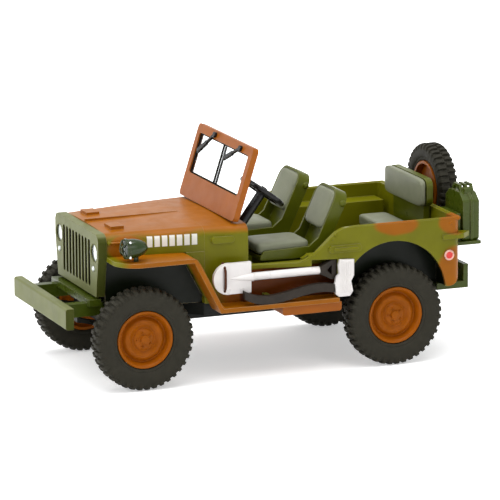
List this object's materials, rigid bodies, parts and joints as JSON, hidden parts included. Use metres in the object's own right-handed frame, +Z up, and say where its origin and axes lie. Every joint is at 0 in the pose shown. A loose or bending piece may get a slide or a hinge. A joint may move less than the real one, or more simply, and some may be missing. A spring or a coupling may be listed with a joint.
{
  "type": "die-cast scale model of an open army 4x4 car",
  "caption": "Die-cast 1:43 scale model of an open-topped army 4x4 car with camouflage paint, rolling wheels, spare wheel, fuel can and side-mounted tools.",
  "frame": {"origin": "on the floor, at the middle of the model's length and width", "axes": "+X towards the front bumper, +Y to the car's left, +Z up"},
  "size_m": [0.0782, 0.0364, 0.0404],
  "materials": {
    "camouflage_paint": "olive and brown camouflage, semi-gloss",
    "olive_paint": "olive green, semi-gloss",
    "grey_green_paint": "pale grey green, satin",
    "brown_paint": "orange brown, satin",
    "chassis_black": "near-black moulded plastic",
    "seat_grey": "grey-green painted plastic",
    "tool_silver": "bright silver paint",
    "dark_wood": "dark brown-black",
    "tyre_rubber": "dark grey rubber",
    "bright_steel": "plain steel",
    "lamp_lens": "pale clear plastic",
    "reflector_red": "red, pale ring",
    "steering_black": "black moulded plastic",
    "clear_pane": "clear plastic"
  },
  "bodies": {
    "car": {"axe_handle": "dark_wood", "axe_head": "tool_silver", "bench_back": "seat_grey", "bench_cushion": "seat_grey", "bench_frame": "olive_paint", "blackout_lamp": "olive_paint", "blackout_lens": "lamp_lens", "body_tub": "camouflage_paint", "can_bracket": "olive_paint", "chassis": "chassis_black", "dash": "olive_paint", "driver_seat_back": "seat_grey", "driver_seat_cushion": "seat_grey", "driver_seat_shell": "olive_paint", "engine_block": "chassis_black", "frame_horns": "olive_paint", "front_bumper": "grey_green_paint", "grille": "grey_green_paint", "headlight_lenses": "lamp_lens", "hood": "camouflage_paint", "jerrycan": "olive_paint", "left_fender": "camouflage_paint", "marker_lamps": "lamp_lens", "passenger_seat_back": "seat_grey", "passenger_seat_cushion": "seat_grey", "passenger_seat_shell": "olive_paint", "radiator": "chassis_black", "rear_bumperettes": "olive_paint", "rear_reflectors": "reflector_red", "right_fender": "camouflage_paint", "shovel": "tool_silver", "shovel_grip": "dark_wood", "side_steps": "brown_paint", "spare_carrier": "olive_paint", "spare_rim": "brown_paint", "spare_tyre": "tyre_rubber", "steering_column": "steering_black", "steering_wheel": "steering_black", "tool_clamps": "olive_paint", "tow_hook": "chassis_black", "windscreen_frame": "brown_paint", "windscreen_pane": "clear_pane", "windscreen_strip": "steering_black", "wipers": "steering_black"},
    "front_axle_set": {"front_axle_pin": "bright_steel", "front_left_rim": "brown_paint", "front_left_tyre": "tyre_rubber", "front_right_rim": "brown_paint", "front_right_tyre": "tyre_rubber"},
    "rear_axle_set": {"rear_axle_pin": "bright_steel", "rear_left_rim": "brown_paint", "rear_left_tyre": "tyre_rubber", "rear_right_rim": "brown_paint", "rear_right_tyre": "tyre_rubber"}
  },
  "joints": [
    {"name": "front_axle_roll", "type": "hinge", "parent": "car", "child": "front_axle_set", "pos_m": [0.02573, 0, 0.00905], "axis": [0, 1, 0], "continuous": true},
    {"name": "rear_axle_roll", "type": "hinge", "parent": "car", "child": "rear_axle_set", "pos_m": [-0.02153, 0, 0.00905], "axis": [0, 1, 0], "continuous": true}
  ]
}
